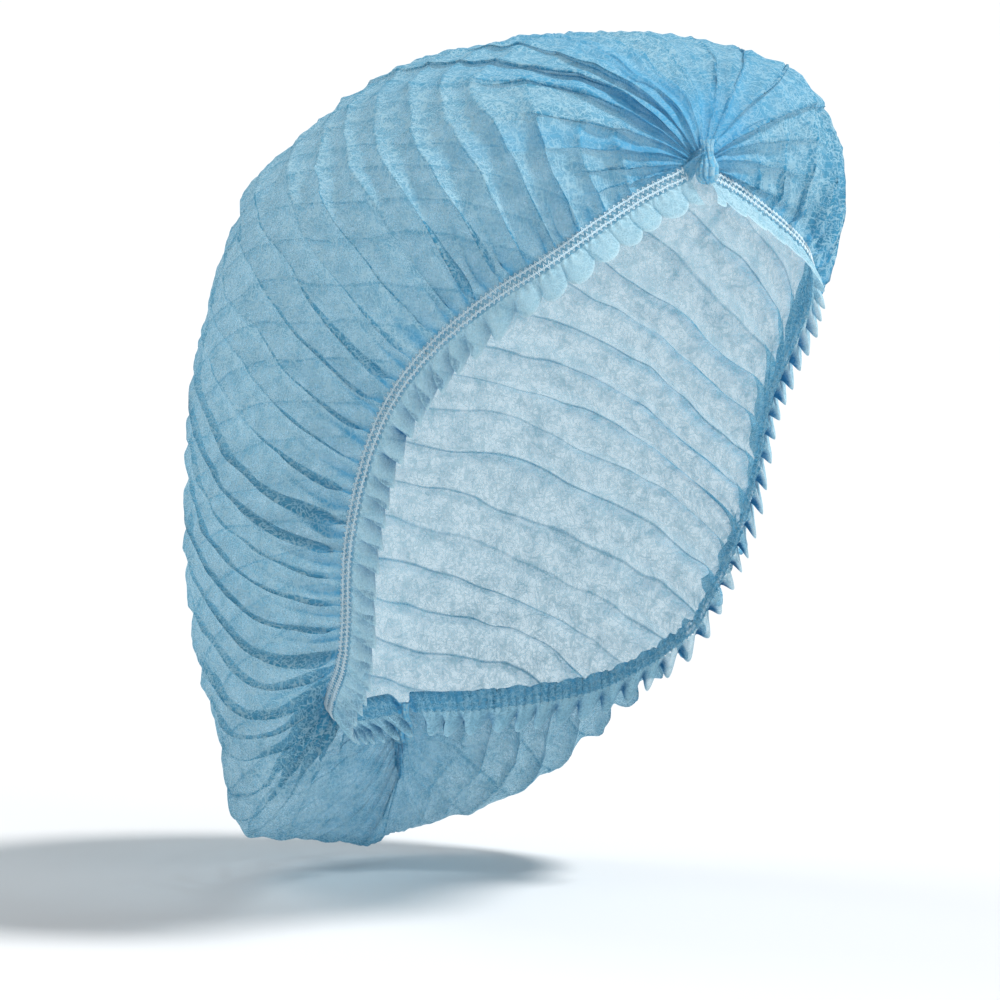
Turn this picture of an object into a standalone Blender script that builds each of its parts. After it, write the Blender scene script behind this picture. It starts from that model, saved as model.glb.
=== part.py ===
"""A disposable pleated bouffant cap, in the shape that it has on a head.

The cap is one light sheet of nonwoven cloth. It is gathered on two rows of elastic
along each side of the opening, its edge stands past them as a fluted frill, and its
two pleated ends are welded into a small knot at the forehead and one at the nape.

Metres, +Z up. The opening looks along -Y and +X is the wearer's left. The origin is
the crown of the wearer's head, where the inside of the cap bears on it.
"""

import math
from collections import namedtuple

import bmesh
import bpy
from mathutils import Vector
from mathutils.bvhtree import BVHTree

# Size of the puffed cap
CAP_HEIGHT = 0.269
CAP_WIDTH = 0.180
CAP_LENGTH = 0.214
CROWN_RISE = 0.0155

# Size and place of the opening that the elastic draws round the head
OPENING_WIDTH = 0.148
OPENING_DEPTH = 0.153
OPENING_HEIGHT = 0.175
FRONT_KNOT_FORWARD = 0.080
FRONT_KNOT_DROP = 0.029

# The bag at the nape hangs below the knot there
BAG_HANG = 0.046
BAG_STARTS = 0.60
BAG_COLLAR = 0.0032

# Valley that the front knot pulls into the top of the cap
VALLEY_DEPTH = 0.007
VALLEY_HALF_ANGLE = math.radians(13)
VALLEY_REACH = math.radians(80)

# Cloth
CLOTH_WALL = 0.0012

# Gathers run from the elastic on one side over the cap to the other side
GATHERS = 33
GATHER_HEIGHT = 0.0034
GATHER_AT_CROWN = 0.0014

# Pleats fan out of each knot
PLEAT_HEIGHT = 0.0026
PLEAT_REACH = 0.070

# Casing, elastic and frill along the edge
CASING_WIDTH = 0.0048
ELASTIC_DIAMETER = 0.0010
ELASTIC_SPACING = 0.0024
FRILL_WIDTH = 0.0066
FRILL_DEPTH = 0.0040
FRILL_WALL = 0.0010
FRILL_GAP = 0.0052

# Welded knots
KNOT_WIDTH = 0.0068
KNOT_LENGTH = 0.0128
FRONT_KNOT_BELOW_EDGE = 0.0022
NAPE_KNOT_BELOW_EDGE = 0.0100
KNOT_RIBS = 9
KNOT_RIB_DEPTH = 0.10

CLEARANCE = 0.0003
KNOT_CLEARANCE = 0.0007

# Numbers of faces
COLUMNS_PER_GATHER = 2
DOME_ROWS = 11
ROW_SPREAD = 1.3
COLUMNS_PER_FLUTE = 4
KNOT_SIDES_PER_RIB = 2
SEATING_STEPS = 30

# The outline as level sections, from the top of the cap to the bottom of the bag at
# the nape. height is a share of CAP_HEIGHT, centre a share of CAP_LENGTH behind the
# origin, and the half sizes are shares of half of CAP_WIDTH and of CAP_LENGTH.
Section = namedtuple("Section", "height centre half_width half_length")
SECTIONS = (
    Section(0.000, -0.110, 0.00, 0.00),
    Section(0.043, -0.058, 0.48, 0.48),
    Section(0.080, -0.067, 0.68, 0.68),
    Section(0.128, -0.044, 0.81, 0.81),
    Section(0.199, -0.022, 0.97, 0.97),
    Section(0.314, 0.050, 1.00, 0.99),
    Section(0.444, 0.105, 1.00, 1.00),
    Section(0.519, 0.117, 1.00, 1.00),
    Section(0.630, 0.138, 0.97, 0.98),
    Section(0.727, 0.162, 0.92, 0.91),
    Section(0.783, 0.174, 0.88, 0.85),
    Section(0.849, 0.202, 0.81, 0.74),
    Section(0.961, 0.237, 0.73, 0.63),
    Section(1.000, 0.248, 0.00, 0.00),
)

# The edge of the cloth on one side, from the front knot to the nape knot. side is a
# share of half of OPENING_WIDTH, back of OPENING_DEPTH and drop of OPENING_HEIGHT.
EdgePoint = namedtuple("EdgePoint", "side back drop")
EDGE = (
    EdgePoint(0.00, 0.00, 0.00),
    EdgePoint(0.27, 0.02, 0.05),
    EdgePoint(0.61, 0.05, 0.14),
    EdgePoint(0.81, 0.15, 0.22),
    EdgePoint(0.92, 0.27, 0.31),
    EdgePoint(0.97, 0.37, 0.41),
    EdgePoint(1.00, 0.43, 0.53),
    EdgePoint(0.99, 0.48, 0.65),
    EdgePoint(0.92, 0.54, 0.78),
    EdgePoint(0.86, 0.60, 0.86),
    EdgePoint(0.68, 0.78, 0.96),
    EdgePoint(0.34, 0.95, 1.00),
    EdgePoint(0.00, 1.00, 1.00),
)

# Angle, as seen from the middle of the cap, in which the cloth swells from the edge to
# the full outline: share is along the edge.
Puff = namedtuple("Puff", "share degrees")
PUFFS = (
    Puff(0.00, 8),
    Puff(0.12, 14),
    Puff(0.60, 16),
    Puff(1.00, 8),
)

# One knot, from its rounded tail to where the pleats leave it: along is a share of
# KNOT_LENGTH and radius a share of half of KNOT_WIDTH.
KnotRing = namedtuple("KnotRing", "along radius")
KNOT_RINGS = (
    KnotRing(0.00, 0.45),
    KnotRing(0.06, 0.80),
    KnotRing(0.20, 1.00),
    KnotRing(0.40, 0.92),
    KnotRing(0.52, 0.66),
    KnotRing(0.66, 0.62),
    KnotRing(0.84, 0.74),
    KnotRing(1.00, 0.80),
)

# The wearer's head where the edge lies on it
HEAD_HALF_WIDTH = 0.50 * OPENING_WIDTH
HEAD_HALF_LENGTH = 0.62 * OPENING_DEPTH
HEAD_HALF_HEIGHT = 0.66 * OPENING_HEIGHT

# The front knot and the middle of the bag's bottom are the poles of the cap
FRONT_KNOT = Vector((0, -FRONT_KNOT_FORWARD, -FRONT_KNOT_DROP))
NAPE_KNOT = FRONT_KNOT + Vector((0, OPENING_DEPTH, -OPENING_HEIGHT))
HANG = Vector((0, 0, -BAG_HANG))
MIDDLE = (FRONT_KNOT + NAPE_KNOT + HANG) / 2
HEAD_CENTRE = (FRONT_KNOT + NAPE_KNOT) / 2 + Vector((0, 0.07 * OPENING_DEPTH, 0))
POLE = (FRONT_KNOT - MIDDLE).normalized()
SIDE = Vector((1, 0, 0))
BACK = POLE.cross(SIDE)


def smooth_curve(keys, values):
    """A function through the values at the keys that never swings past them."""
    slopes = [
        (values[i + 1] - values[i]) / (keys[i + 1] - keys[i])
        for i in range(len(keys) - 1)
    ]
    tangents = [slopes[0]]
    for before, after in zip(slopes, slopes[1:]):
        level = 0 if before * after <= 0 else 2 * before * after / (before + after)
        tangents.append(level)
    tangents.append(slopes[-1])

    def value(key):
        key = min(max(key, keys[0]), keys[-1])
        i = 0
        while i < len(keys) - 2 and keys[i + 1] < key:
            i += 1
        span = keys[i + 1] - keys[i]
        x = (key - keys[i]) / span
        return (
            values[i] * (1 + 2 * x) * (1 - x) ** 2
            + tangents[i] * span * x * (1 - x) ** 2
            + values[i + 1] * x * x * (3 - 2 * x)
            + tangents[i + 1] * span * x * x * (x - 1)
        )

    return value


def section_curve(values):
    return smooth_curve([row.height for row in SECTIONS], values)


section_centre = section_curve([row.centre * CAP_LENGTH for row in SECTIONS])
squared_width = section_curve([(row.half_width * CAP_WIDTH / 2) ** 2 for row in SECTIONS])
squared_length = section_curve([(row.half_length * CAP_LENGTH / 2) ** 2 for row in SECTIONS])


puff_degrees = smooth_curve([row.share for row in PUFFS], [row.degrees for row in PUFFS])


def inside_outline(point):
    """Whether a point lies inside the puffed outline of the cap."""
    height = (CROWN_RISE - point.z) / CAP_HEIGHT
    if not 0 < height < 1:
        return False
    across = squared_width(height)
    along = squared_length(height)
    behind = point.y - section_centre(height)
    return point.x**2 * along + behind**2 * across < across * along


def outline_radius(polar, turn):
    """Distance from MIDDLE to the outline, less the valley above the front knot."""
    direction = direction_at(polar, turn)
    near = 0.0
    far = CAP_HEIGHT
    for _ in range(20):
        half = (near + far) / 2
        if inside_outline(MIDDLE + direction * half):
            near = half
        else:
            far = half
    valley = math.exp(-((turn * math.sin(polar) / VALLEY_HALF_ANGLE) ** 2))
    return near - VALLEY_DEPTH * valley * max(0, 1 - polar / VALLEY_REACH)


def direction_at(polar, turn):
    """Unit vector at an angle from the front pole, turned about it from the back."""
    around = BACK * math.cos(turn) + SIDE * math.sin(turn)
    return POLE * math.cos(polar) + around * math.sin(polar)


def angles_of(vector):
    """The two angles that direction_at takes, for any vector from MIDDLE."""
    return vector.angle(POLE), math.atan2(vector.dot(SIDE), vector.dot(BACK))


def lengths_of(points):
    """Length of a line up to each of its points."""
    lengths = [0.0]
    for a, b in zip(points, points[1:]):
        lengths.append(lengths[-1] + (b - a).length)
    return lengths


def along_line(values, lengths, share):
    """Value at a share of the length of a line, for points or for numbers."""
    wanted = min(max(share, 0), 1) * lengths[-1]
    i = 0
    while i < len(lengths) - 2 and lengths[i + 1] < wanted:
        i += 1
    part = (wanted - lengths[i]) / (lengths[i + 1] - lengths[i])
    return values[i] * (1 - part) + values[i + 1] * part


def edge_line(steps_per_row=12):
    """Points of the edge on the wearer's left, on a curve through the table."""
    corners = [
        FRONT_KNOT
        + Vector(
            (
                row.side * OPENING_WIDTH / 2,
                row.back * OPENING_DEPTH,
                -row.drop * OPENING_HEIGHT,
            )
        )
        for row in EDGE
    ]
    before = corners[0] * 2 - corners[1]
    beyond = Vector((-corners[-2].x, corners[-2].y, corners[-2].z))
    corners = [before, *corners, beyond]
    points = []
    for a, b, c, d in zip(corners, corners[1:], corners[2:], corners[3:]):
        for step in range(steps_per_row):
            x = step / steps_per_row
            bend = (2 * a - 5 * b + 4 * c - d) * x * x + (3 * b - a - 3 * c + d) * x**3
            points.append(b + ((c - a) * x + bend) / 2)
    return [*points, corners[-2]]


EDGE_POINTS = edge_line()
EDGE_LENGTHS = lengths_of(EDGE_POINTS)


def share_at(column, columns, gap=KNOT_WIDTH / 2 + CLEARANCE):
    """Share of the edge at a column, from the gap at one knot to that at the other."""
    start = gap / EDGE_LENGTHS[-1]
    return start + (1 - 2 * start) * column / columns


def edge_frame(share):
    """Edge point, outward normal of the head there, and the way up under the cap."""
    small = 0.01
    point = along_line(EDGE_POINTS, EDGE_LENGTHS, share)
    ahead = along_line(EDGE_POINTS, EDGE_LENGTHS, share + small)
    behind = along_line(EDGE_POINTS, EDGE_LENGTHS, share - small)
    tangent = (ahead - behind).normalized()
    reach = point - HEAD_CENTRE
    normal = Vector(
        (
            reach.x / HEAD_HALF_WIDTH**2,
            reach.y / HEAD_HALF_LENGTH**2,
            reach.z / HEAD_HALF_HEIGHT**2,
        )
    )
    normal = (normal - tangent * normal.dot(tangent)).normalized()
    return point, normal, normal.cross(tangent)


def middle_line(steps=120):
    """Polar angles along the middle plane, and the length of the outline to each."""
    angles = [math.pi * step / steps for step in range(steps + 1)]
    return angles, lengths_of([direction_at(a, 0) * outline_radius(a, 0) for a in angles])


MIDDLE_ANGLES, MIDDLE_LENGTHS = middle_line()


def rib(share, rows, steps=30):
    """Points of the smooth dome along one rib, evenly from the top of the casing on
    the wearer's left to the middle plane."""
    point, _, up = edge_frame(share)
    bag = min(max((share - BAG_STARTS) / (1 - BAG_STARTS), 0), 1)
    bag = bag * bag * (3 - 2 * bag)
    foot = point + up * (CASING_WIDTH + BAG_COLLAR * bag) - MIDDLE
    puff_angle = math.radians(puff_degrees(share))
    start = foot + HANG * bag
    start_polar, start_turn = angles_of(start)
    end_polar = along_line(MIDDLE_ANGLES, MIDDLE_LENGTHS, share)
    points = []
    for step in range(steps + 1):
        climb = step / steps
        turn = start_turn * (1 - climb)
        rise = math.sin(climb * math.pi / 2)
        polar = start_polar + (end_polar - start_polar) * rise
        direction = direction_at(polar, turn)
        puffed = min(direction.angle(start, 0) / puff_angle, 1)
        swell = math.sin(puffed * math.pi / 2) ** 0.8
        radius = start.length * (1 - swell) + outline_radius(polar, turn) * swell
        points.append(MIDDLE + direction * radius - HANG * bag * (1 - swell))
    lengths = lengths_of(points)
    shares = [(row / rows) ** ROW_SPREAD for row in range(rows + 1)]
    return [along_line(points, lengths, part) for part in shares]


def grid_normals(ribs):
    """Outward normal at each point of a grid of ribs."""
    last_rib = len(ribs) - 1
    last_row = len(ribs[0]) - 1
    normals = []
    for i, points in enumerate(ribs):
        before, after = ribs[max(i - 1, 0)], ribs[min(i + 1, last_rib)]
        row_normals = []
        for j, point in enumerate(points):
            across = points[min(j + 1, last_row)] - points[max(j - 1, 0)]
            normal = across.cross(before[j] - after[j]).normalized()
            row_normals.append(normal)
        normals.append(row_normals)
    return normals


def fold_height(share, column, row):
    """How far a gather and a pleat lift the cloth off the smooth dome."""
    climb = row / DOME_ROWS
    grown = min(climb / 0.15, 1)
    way_to_knot = min(share, 1 - share) * MIDDLE_LENGTHS[-1]
    held = min(way_to_knot / (0.5 * PLEAT_REACH), 1)
    gather = (GATHER_HEIGHT + (GATHER_AT_CROWN - GATHER_HEIGHT) * climb) * held
    pleat = PLEAT_HEIGHT * max(0, 1 - way_to_knot / PLEAT_REACH) * held
    gather_side = 1 if column % 2 else -1
    pleat_side = 1 if row % 2 else -1
    return grown * (gather * gather_side + pleat * pleat_side) / 2


def mirrored(point, side):
    """The point on the wearer's left, 1, or its image on the right, -1."""
    return Vector((point.x * side, point.y, point.z))


def add_object(name, data, material):
    obj = bpy.data.objects.new(name, data)
    obj.data.materials.append(material)
    bpy.context.scene.collection.objects.link(obj)
    return obj


def make_material(name, colour, roughness):
    material = bpy.data.materials.new(name)
    material.use_nodes = True
    shader = material.node_tree.nodes["Principled BSDF"]
    shader.inputs["Base Color"].default_value = (*colour, 1)
    shader.inputs["Roughness"].default_value = roughness
    return material


def add_sheet(name, columns, rows, place, wall, material):
    """A grid sheet with its vertices put by place(column, row), and a wall grown on
    the side that faces MIDDLE."""
    bm = bmesh.new()
    made = bmesh.ops.create_grid(bm, x_segments=columns, y_segments=rows, size=1)
    for vert in made["verts"]:
        column = round((vert.co.x + 1) / 2 * columns)
        row = round((vert.co.y + 1) / 2 * rows)
        vert.co = place(column, row)
    bm.normal_update()
    outward = sum(f.normal.dot(f.calc_center_median() - MIDDLE) for f in bm.faces)
    if outward < 0:
        bmesh.ops.reverse_faces(bm, faces=bm.faces)
    mesh = bpy.data.meshes.new(name)
    bm.to_mesh(mesh)
    bm.free()
    obj = add_object(name, mesh, material)
    solidify = obj.modifiers.new("wall", "SOLIDIFY")
    solidify.thickness = wall
    solidify.offset = -1
    return mesh


def add_crown(material):
    """The bag of the cap, from the casing on the right over the head to the left. It
    returns the tree of its outer faces, which the knots are seated on."""
    columns = GATHERS * COLUMNS_PER_GATHER
    half_rows = DOME_ROWS + 1
    shares = [share_at(column, columns) for column in range(columns + 1)]
    ribs = [rib(share, DOME_ROWS) for share in shares]
    normals = grid_normals(ribs)

    def place(column, row):
        side = -1 if row < half_rows else 1
        step = min(row, 2 * half_rows - row)
        if step == 0:
            return mirrored(edge_frame(shares[column])[0], side)
        lift = fold_height(shares[column], column, step - 1)
        point = ribs[column][step - 1] + normals[column][step - 1] * lift
        if step == half_rows:
            point.x = 0
        return mirrored(point, side)

    mesh = add_sheet("crown", columns, 2 * half_rows, place, CLOTH_WALL, material)
    corners = [vert.co for vert in mesh.vertices]
    return BVHTree.FromPolygons(corners, [face.vertices for face in mesh.polygons])


def add_frill(name, side, material):
    """The fluted edge of the cloth past the elastic on one side."""
    columns = GATHERS * COLUMNS_PER_FLUTE

    def place(column, row):
        point, normal, up = edge_frame(share_at(column, columns, FRILL_GAP))
        wave = math.sin(2 * math.pi * column / COLUMNS_PER_FLUTE)
        down = CLEARANCE + FRILL_WIDTH * (0.80 + 0.20 * wave) * row
        flute = FRILL_DEPTH / 2 * (1 + wave) * row
        return mirrored(point - up * down + normal * flute, side)

    add_sheet(name, columns, 1, place, FRILL_WALL, material)


def add_elastic(name, side, above_edge, material):
    """One row of elastic along one side, on the outside of the casing."""
    columns = GATHERS * COLUMNS_PER_GATHER
    curve = bpy.data.curves.new(name, "CURVE")
    curve.dimensions = "3D"
    curve.bevel_depth = ELASTIC_DIAMETER / 2
    curve.bevel_resolution = 0
    curve.use_fill_caps = True
    spline = curve.splines.new("POLY")
    spline.points.add(columns - 2)
    for number, spline_point in enumerate(spline.points):
        point, normal, up = edge_frame(share_at(number + 1, columns))
        centre = point + up * above_edge + normal * (CLEARANCE + ELASTIC_DIAMETER / 2)
        spline_point.co = (*mirrored(centre, side), 1)
    add_object(name, curve, material)


def add_knot(name, centre, below_edge, cloth, material):
    """The welded end of the pleated strip, upright against the outside of the cloth.
    It comes from in front, and stops at the clearance from the cloth."""
    tail = centre - Vector((0, 2 * KNOT_WIDTH, below_edge))
    sides = KNOT_RIBS * KNOT_SIDES_PER_RIB
    bm = bmesh.new()
    loops = []
    for ring in KNOT_RINGS:
        height = ring.along * KNOT_LENGTH
        verts = []
        for n in range(sides):
            angle = 2 * math.pi * n / sides
            groove = 1 - KNOT_RIB_DEPTH * (n % KNOT_SIDES_PER_RIB)
            radius = ring.radius * KNOT_WIDTH / 2 * groove
            spoke = Vector((radius * math.cos(angle), radius * math.sin(angle), height))
            verts.append(bm.verts.new(tail + spoke))
        loops.append([bm.edges.new(pair) for pair in zip(verts, verts[1:] + verts[:1])])
    for lower, upper in zip(loops, loops[1:]):
        bmesh.ops.bridge_loops(bm, edges=lower + upper)
    for end in (loops[0], loops[-1]):
        bmesh.ops.contextual_create(bm, geom=end)
    bmesh.ops.recalc_face_normals(bm, faces=bm.faces)
    for _ in range(SEATING_STEPS):
        gap = min(cloth.find_nearest(vert.co)[3] for vert in bm.verts) - KNOT_CLEARANCE
        bmesh.ops.translate(bm, verts=bm.verts, vec=(0, gap, 0))
    mesh = bpy.data.meshes.new(name)
    bm.to_mesh(mesh)
    bm.free()
    add_object(name, mesh, material)


def main():
    for obj in list(bpy.data.objects):
        bpy.data.objects.remove(obj)
    cloth = make_material("nonwoven_cloth", (0.36, 0.62, 0.76), 0.85)
    elastic = make_material("elastic_thread", (0.72, 0.86, 0.93), 0.70)
    weld = make_material("welded_cloth", (0.24, 0.52, 0.74), 0.60)
    lower = (CASING_WIDTH - ELASTIC_SPACING) / 2
    crown = add_crown(cloth)
    for side, label in ((-1, "right"), (1, "left")):
        add_frill(f"{label}_frill", side, cloth)
        add_elastic(f"{label}_elastic_lower", side, lower, elastic)
        add_elastic(f"{label}_elastic_upper", side, lower + ELASTIC_SPACING, elastic)
    add_knot("front_knot", FRONT_KNOT, FRONT_KNOT_BELOW_EDGE, crown, weld)
    add_knot("nape_knot", NAPE_KNOT, NAPE_KNOT_BELOW_EDGE, crown, weld)


main()
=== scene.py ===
"""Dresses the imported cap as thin, gathered and pleated nonwoven cloth.

The smooth dome and the edge line follow the same named sizes as the CAD part. On them
the cloth is laid with its gathers, pleats, ruched casing, fluted frills, stitched
elastic and welded knots. Metres, +Z up, the origin is the crown of the wearer's head.
"""

import math
from collections import namedtuple

import bmesh
import bpy
import numpy as np
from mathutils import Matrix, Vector


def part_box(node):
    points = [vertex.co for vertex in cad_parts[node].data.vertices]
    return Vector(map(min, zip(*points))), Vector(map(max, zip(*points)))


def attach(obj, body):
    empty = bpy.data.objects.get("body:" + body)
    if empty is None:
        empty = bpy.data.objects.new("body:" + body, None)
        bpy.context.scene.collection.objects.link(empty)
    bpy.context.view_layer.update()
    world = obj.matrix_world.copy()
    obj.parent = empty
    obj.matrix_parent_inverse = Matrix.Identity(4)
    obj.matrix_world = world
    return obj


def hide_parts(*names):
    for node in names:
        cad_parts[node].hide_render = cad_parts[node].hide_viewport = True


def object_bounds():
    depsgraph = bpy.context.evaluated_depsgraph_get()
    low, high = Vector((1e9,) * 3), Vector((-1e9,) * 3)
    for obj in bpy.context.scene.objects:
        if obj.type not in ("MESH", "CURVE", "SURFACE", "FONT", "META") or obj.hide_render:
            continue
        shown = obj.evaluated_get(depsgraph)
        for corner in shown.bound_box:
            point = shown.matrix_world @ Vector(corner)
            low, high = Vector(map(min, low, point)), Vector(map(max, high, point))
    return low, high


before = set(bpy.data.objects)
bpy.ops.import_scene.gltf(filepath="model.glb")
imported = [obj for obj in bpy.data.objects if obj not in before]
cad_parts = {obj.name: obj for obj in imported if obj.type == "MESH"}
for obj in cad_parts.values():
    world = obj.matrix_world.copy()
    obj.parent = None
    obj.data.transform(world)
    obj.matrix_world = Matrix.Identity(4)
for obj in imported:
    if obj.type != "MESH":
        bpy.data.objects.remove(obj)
cad_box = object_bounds()

# Sizes of the part
CAP_HEIGHT = 0.269
CAP_WIDTH = 0.180
CAP_LENGTH = 0.214
CROWN_RISE = 0.0155
OPENING_WIDTH = 0.148
OPENING_DEPTH = 0.153
OPENING_HEIGHT = 0.175
FRONT_KNOT_FORWARD = 0.080
FRONT_KNOT_DROP = 0.029
BAG_HANG = 0.046
BAG_STARTS = 0.60
BAG_COLLAR = 0.0032
VALLEY_DEPTH = 0.007
VALLEY_HALF_ANGLE = math.radians(13)
VALLEY_REACH = math.radians(80)
CASING_WIDTH = 0.0048
ELASTIC_DIAMETER = 0.0010
ELASTIC_SPACING = 0.0024
KNOT_WIDTH = 0.0068
KNOT_LENGTH = 0.0128
CLEARANCE = 0.0003

Section = namedtuple("Section", "height centre half_width half_length")
SECTIONS = (
    Section(0.000, -0.110, 0.00, 0.00),
    Section(0.043, -0.058, 0.48, 0.48),
    Section(0.080, -0.067, 0.68, 0.68),
    Section(0.128, -0.044, 0.81, 0.81),
    Section(0.199, -0.022, 0.97, 0.97),
    Section(0.314, 0.050, 1.00, 0.99),
    Section(0.444, 0.105, 1.00, 1.00),
    Section(0.519, 0.117, 1.00, 1.00),
    Section(0.630, 0.138, 0.97, 0.98),
    Section(0.727, 0.162, 0.92, 0.91),
    Section(0.783, 0.174, 0.88, 0.85),
    Section(0.849, 0.202, 0.81, 0.74),
    Section(0.961, 0.237, 0.73, 0.63),
    Section(1.000, 0.248, 0.00, 0.00),
)

EdgePoint = namedtuple("EdgePoint", "side back drop")
EDGE = (
    EdgePoint(0.00, 0.00, 0.00),
    EdgePoint(0.27, 0.02, 0.05),
    EdgePoint(0.61, 0.05, 0.14),
    EdgePoint(0.81, 0.15, 0.22),
    EdgePoint(0.92, 0.27, 0.31),
    EdgePoint(0.97, 0.37, 0.41),
    EdgePoint(1.00, 0.43, 0.53),
    EdgePoint(0.99, 0.48, 0.65),
    EdgePoint(0.92, 0.54, 0.78),
    EdgePoint(0.86, 0.60, 0.86),
    EdgePoint(0.68, 0.78, 0.96),
    EdgePoint(0.34, 0.95, 1.00),
    EdgePoint(0.00, 1.00, 1.00),
)

Puff = namedtuple("Puff", "share degrees")
PUFFS = (Puff(0.00, 8), Puff(0.12, 14), Puff(0.60, 16), Puff(1.00, 8))

# Faces of the cloth
CROWN_COLUMNS = 500
CROWN_ROWS = 168
CASING_ROWS = 10
PINCH_COLUMNS = 10
FRILL_COLUMNS = 900
FRILL_ROWS = 14
ELASTIC_POINTS = 1400
KNOT_MESH_RINGS = 96
KNOT_MESH_SIDES = 144

# Folds of the crown that run up from the elastic. The first kind is drawn by the solids
# too. Lifts are in metres, and the fades are shares of the way to the middle plane.
Gather = namedtuple("Gather", "folds lift shift far_lift fades_from fades_to kept turn")
GATHERS = (
    Gather(33, 0.00250, 1.00, 0.00065, 0.10, 0.75, 0.50, 2.7),
    Gather(66, 0.00170, 0.95, 0.00012, 0.04, 0.22, 0.06, 3.0),
    Gather(124, 0.00060, 0.80, 0.00000, 0.02, 0.10, 0.00, 3.4),
)
LARGE_GATHER, SMALL_GATHER, RUCHE = GATHERS
GATHERS_START = 0.030

# Pleats that fan out from the knots: how many from side to side, how far they reach from
# each knot, and how high they stand
PLEATS = 9
FINE_PLEATS = 27
PLEATS_FROM_FRONT = 0.125
PLEATS_ROUND_FRONT = 0.045
PLEATS_FROM_NAPE = 0.055
PLEAT_HEIGHT = 0.0007
PLEAT_EXTRA_AT_KNOT = 0.0015
FINE_PLEAT_HEIGHT = 0.0008

# Dents in the cloth, and the puff of the crown over the wearer's left temple
DENT_HEIGHT = 0.00065
DENT_LENGTH = 0.010
SMALL_DENT_HEIGHT = 0.00032
SMALL_DENT_LENGTH = 0.0043
LOBE_HEIGHT = 0.0075

# Casing, frill and elastic
SEAM_HALF_WIDTH = 0.0004
RUCHE_HEIGHT = 0.0005
FRILL_WIDTH = 0.0096
FRILL_FLUTES = 33
FRILL_WAVE = 0.0012
FRILL_WAVE_AT_SIDE = 0.0010
FRILL_SINKS_AT_SIDE = 0.0008
FRILL_LAYS_IN = math.radians(30)
FRILL_STARTS = 0.0036
ELASTIC_STARTS = 0.0040
ELASTIC_CORE_RADIUS = 0.00032
THREAD_RADIUS = 0.00011
STITCHES = 180
STITCH_REACH = 0.00125

# How the cloth is drawn into each knot: how far below the top of its stalk, and how long
# the cloth keeps its level on the way
STALK_RADIUS = 0.0023
Draw = namedtuple("Draw", "below_top stays_level")
DRAWN_IN = {"front_knot": Draw(0.0032, 1.0), "nape_knot": Draw(0.0006, 2.6)}
KNOT_SQUASH = 0.86

# Photograph's view: the camera's turn, tilt and distance, and where the point that it
# was measured at falls in a picture of 1000 by 1000 pixels
VIEW_TURN = math.radians(-37)
VIEW_TILT = math.radians(5)
VIEW_DISTANCE = 1.6
VIEW_TARGET = Vector((0, -0.075, -0.112))
TARGET_PIXEL = (689.5, 457.0)
PIXELS_AT_ONE_METRE = 5440.0
PICTURE_PIXELS = 1000
SENSOR_WIDTH = 36

# Light of the sky, and how bright it is where the camera sees it behind the floor
SKY = 0.36
BACKDROP = 1.0
Sun = namedtuple("Sun", "name place strength softness")
SUNS = (
    Sun("key_light", (0.7, -0.8, 1.7), 2.6, 10),
    Sun("fill_light", (0.5, -1.6, 0.5), 0.7, 25),
    Sun("rim_light", (-0.8, 1.6, 1.6), 0.5, 30),
)
FLOOR_HALF_SIZE = 300
FLOOR_GAP = 0.006

# Share of the light that the cloth passes on, and what it does to light between its fibres
PASSED_LIGHT = 0.28
BETWEEN_FIBRES = (0.80, 0.93, 0.99, 1)

SIDE = np.array((1.0, 0.0, 0.0))
FRONT_KNOT = np.array((0, -FRONT_KNOT_FORWARD, -FRONT_KNOT_DROP))
NAPE_KNOT = FRONT_KNOT + np.array((0, OPENING_DEPTH, -OPENING_HEIGHT))
HANG = np.array((0, 0, -BAG_HANG))
MIDDLE = (FRONT_KNOT + NAPE_KNOT + HANG) / 2
HEAD_CENTRE = (FRONT_KNOT + NAPE_KNOT) / 2 + np.array((0, 0.07 * OPENING_DEPTH, 0))
HEAD_HALVES = np.array((0.50 * OPENING_WIDTH, 0.62 * OPENING_DEPTH, 0.66 * OPENING_HEIGHT))


def unit(vectors):
    return vectors / np.maximum(np.linalg.norm(vectors, axis=-1, keepdims=True), 1e-12)


POLE = unit(FRONT_KNOT - MIDDLE)
BACK = np.cross(POLE, SIDE)


def smooth_step(low, high, value):
    part = np.clip((value - low) / (high - low), 0, 1)
    return part * part * (3 - 2 * part)


def falls_off(distance, reach):
    """1 where the distance is 0, and almost 0 past twice the reach."""
    return np.exp(-((distance / reach) ** 2))


def smooth_curve(keys, values):
    """A function through the values at the keys that never swings past them."""
    keys, values = np.array(keys, float), np.array(values, float)
    slopes = np.diff(values) / np.diff(keys)
    before, after = slopes[:-1], slopes[1:]
    both = np.where(before + after == 0, 1, before + after)
    level = np.where(before * after <= 0, 0, 2 * before * after / both)
    tangents = np.concatenate([slopes[:1], level, slopes[-1:]])

    def value(key):
        key = np.clip(key, keys[0], keys[-1])
        i = np.clip(np.searchsorted(keys, key, side="right") - 1, 0, len(keys) - 2)
        span = keys[i + 1] - keys[i]
        x = (key - keys[i]) / span
        return (
            values[i] * (1 + 2 * x) * (1 - x) ** 2
            + tangents[i] * span * x * (1 - x) ** 2
            + values[i + 1] * x * x * (3 - 2 * x)
            + tangents[i + 1] * span * x * x * (x - 1)
        )

    return value


def section_curve(values):
    return smooth_curve([row.height for row in SECTIONS], values)


section_centre = section_curve([row.centre * CAP_LENGTH for row in SECTIONS])
squared_width = section_curve([(row.half_width * CAP_WIDTH / 2) ** 2 for row in SECTIONS])
squared_length = section_curve([(row.half_length * CAP_LENGTH / 2) ** 2 for row in SECTIONS])
puff_degrees = smooth_curve([row.share for row in PUFFS], [row.degrees for row in PUFFS])


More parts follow.
